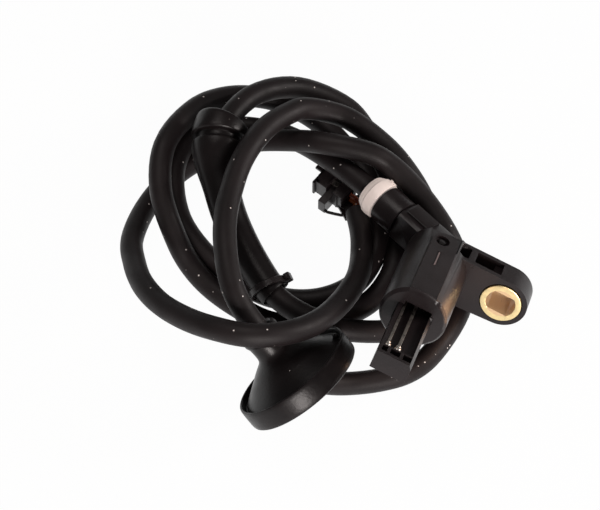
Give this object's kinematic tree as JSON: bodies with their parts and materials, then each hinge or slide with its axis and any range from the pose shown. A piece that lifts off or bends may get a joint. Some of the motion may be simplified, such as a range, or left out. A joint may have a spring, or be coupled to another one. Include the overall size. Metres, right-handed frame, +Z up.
{
  "type": "wheel speed sensor with cable",
  "caption": "Wheel speed sensor with a flat sensing tip, a bolt ear with a metal bushing, and a coiled cable with a boot, a grommet and a small connector.",
  "frame": {"origin": "middle of the end face of the sensing tip", "axes": "+Z up from the surface that the coiled cable lies on; the sensor head lies mostly along Y, its tip towards -Y and raised by 26.5 degrees, its bolt ear towards +X"},
  "size_m": [0.1055, 0.1063, 0.0388],
  "materials": {
    "moulded_plastic": "dark satin plastic",
    "cable_skin": "dark satin jacket with pale dust specks",
    "soft_rubber": "dark soft rubber with a slight sheen",
    "brass": "bright brass",
    "pale_plastic": "pale warm white plastic",
    "steel": "dull steel",
    "tinned_metal": "tinned strip",
    "chip": "black moulded chip",
    "magnet": "grey magnet",
    "orange_skin": "rust orange wire",
    "brown_skin": "dark brown wire"
  },
  "bodies": {
    "root": {"sensor_body": "moulded_plastic", "compression_bushing": "brass", "locating_pin": "steel", "element_carrier": "moulded_plastic", "sensing_chip": "chip", "bias_magnet": "magnet", "lead_strip_left": "tinned_metal", "lead_strip_right": "tinned_metal", "neck_collar": "moulded_plastic", "seal_ring": "pale_plastic", "cable_jacket": "cable_skin", "cable_boot": "soft_rubber", "cable_tie": "moulded_plastic", "panel_grommet": "soft_rubber", "connector_housing": "moulded_plastic", "wire_seal": "soft_rubber", "terminal_lower": "tinned_metal", "terminal_upper": "tinned_metal", "connector_lock": "moulded_plastic", "signal_wire_orange": "orange_skin", "signal_wire_brown": "brown_skin"}
  },
  "joints": []
}
